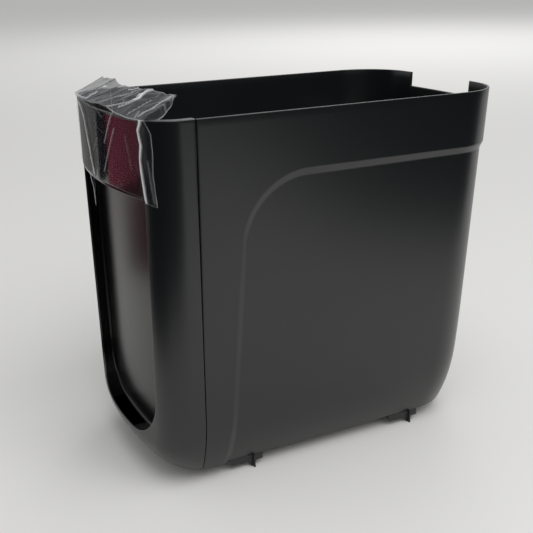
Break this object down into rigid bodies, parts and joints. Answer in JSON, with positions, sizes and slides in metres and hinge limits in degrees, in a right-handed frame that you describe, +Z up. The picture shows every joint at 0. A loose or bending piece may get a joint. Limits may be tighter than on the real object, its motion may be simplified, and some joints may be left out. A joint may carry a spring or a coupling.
{
  "type": "trash compactor",
  "caption": "Top-loading household trash compactor: tapered open housing, steel chamber, and a horizontal press plate driven by twin lead screws.",
  "frame": {"origin": "on the floor, under the middle of the housing", "axes": "+X to the right side, +Y to the rear, +Z up"},
  "size_m": [0.267, 0.447, 0.4247],
  "materials": {
    "shell_plastic": "satin, fine moulded texture",
    "panel_plastic": "satin",
    "fascia_gloss": "high gloss",
    "clear_film": "clear, glossy, creased",
    "tab_plastic": "matt",
    "base_plastic": "matt",
    "trim_plastic": "matt, fine grain",
    "liner_steel": "brushed",
    "sheet_steel": "zinc plated sheet",
    "turned_steel": "turned and polished",
    "fastener_steel": "zinc plated",
    "bronze": "machined",
    "spring_brass": "plated wire",
    "gear_nylon": "moulded nylon",
    "post_nylon": "moulded nylon",
    "cast_housing": "die cast",
    "motor_can": "drawn steel can",
    "carriage_plastic": "glass filled",
    "seal_rubber": "matt",
    "circuit_board": "solder mask",
    "charcoal": "open cell foam",
    "switch_plastic": "semi gloss"
  },
  "bodies": {
    "housing": {"main_shell": "shell_plastic", "front_frame": "shell_plastic", "recess_panel": "panel_plastic", "control_fascia": "fascia_gloss", "protective_film": "clear_film", "foot_tab_front_left": "tab_plastic", "foot_tab_front_right": "tab_plastic", "foot_tab_rear_left": "tab_plastic", "foot_tab_rear_right": "tab_plastic", "base_plate": "base_plastic", "base_screws": "fastener_steel", "chamber_liner": "liner_steel", "deck_frame": "trim_plastic", "hinge_pins": "fastener_steel", "front_bulkhead": "sheet_steel", "rear_bulkhead": "sheet_steel", "bearing_plate": "sheet_steel", "plate_spacers": "turned_steel", "guide_rail_left": "turned_steel", "guide_rail_right": "turned_steel", "front_bushes": "bronze", "rear_bushes": "bronze", "idler_pins": "turned_steel", "gearbox": "cast_housing", "motor": "motor_can", "gearbox_screws": "fastener_steel", "floor_seals": "seal_rubber", "position_sensors": "circuit_board", "control_board": "circuit_board", "touch_springs": "spring_brass", "board_cover": "trim_plastic", "power_board": "circuit_board", "board_posts": "post_nylon", "filter_holder": "trim_plastic", "charcoal_filter": "charcoal", "inlet_plate": "trim_plastic", "mains_inlet": "switch_plastic", "switch_case": "switch_plastic", "lever_bracket": "sheet_steel", "lid_switch": "switch_plastic"},
    "screw_left": {"lead_screw_left": "turned_steel", "screw_gear_left": "gear_nylon"},
    "screw_right": {"lead_screw_right": "turned_steel", "screw_gear_right": "gear_nylon"},
    "idler_left": {"idler_gear_left": "gear_nylon"},
    "idler_right": {"idler_gear_right": "gear_nylon"},
    "drive": {"drive_gear": "bronze", "drive_shaft": "turned_steel"},
    "ram": {"press_plate": "liner_steel", "plate_stiffeners": "sheet_steel", "ram_arm_left": "sheet_steel", "ram_arm_right": "sheet_steel", "carriage_left": "carriage_plastic", "carriage_right": "carriage_plastic", "screw_nuts": "bronze", "arm_screws": "fastener_steel"},
    "bag_clamp": {"bag_frame": "trim_plastic"},
    "interlock": {"lid_lever": "post_nylon"},
    "power_key": {"switch_rocker": "switch_plastic"}
  },
  "joints": [
    {"name": "screw_left_turn", "type": "hinge", "parent": "housing", "child": "screw_left", "pos_m": [-0.08, 0, 0.046], "axis": [0, 1, 0], "range_deg": [0, 6480]},
    {"name": "screw_right_turn", "type": "hinge", "parent": "housing", "child": "screw_right", "pos_m": [0.08, 0, 0.046], "axis": [0, 1, 0], "range_deg": [0, 6480]},
    {"name": "idler_left_turn", "type": "hinge", "parent": "housing", "child": "idler_left", "pos_m": [-0.04, 0.148, 0.046], "axis": [0, 1, 0], "range_deg": [-6480, 0]},
    {"name": "idler_right_turn", "type": "hinge", "parent": "housing", "child": "idler_right", "pos_m": [0.04, 0.148, 0.046], "axis": [0, 1, 0], "range_deg": [-6480, 0]},
    {"name": "drive_turn", "type": "hinge", "parent": "housing", "child": "drive", "pos_m": [0, 0.14, 0.046], "axis": [0, 1, 0], "range_deg": [0, 6480]},
    {"name": "ram_slide", "type": "slide", "parent": "housing", "child": "ram", "axis": [0, -1, 0], "range_m": [0, 0.18]},
    {"name": "bag_frame_hinge", "type": "hinge", "parent": "housing", "child": "bag_clamp", "pos_m": [-0.108, 0, 0.355], "axis": [0, -1, 0], "range_deg": [0, 80]},
    {"name": "lid_lever_hinge", "type": "hinge", "parent": "housing", "child": "interlock", "pos_m": [0.112, 0.06, 0.357], "axis": [0, 1, 0], "range_deg": [0, 15], "stiffness_Nm_per_rad": 0.02, "springref_deg": -11.46},
    {"name": "rocker_hinge", "type": "hinge", "parent": "housing", "child": "power_key", "pos_m": [-0.011, 0.203, 0.083], "axis": [1, 0, 0], "range_deg": [0, 16]}
  ],
  "couplings": [
    {"joint": "screw_left_turn", "follows": "ram_slide", "rad_per_m": 628.32},
    {"joint": "screw_right_turn", "follows": "ram_slide", "rad_per_m": 628.32},
    {"joint": "idler_left_turn", "follows": "ram_slide", "rad_per_m": -628.32},
    {"joint": "idler_right_turn", "follows": "ram_slide", "rad_per_m": -628.32},
    {"joint": "drive_turn", "follows": "ram_slide", "rad_per_m": 628.32}
  ]
}
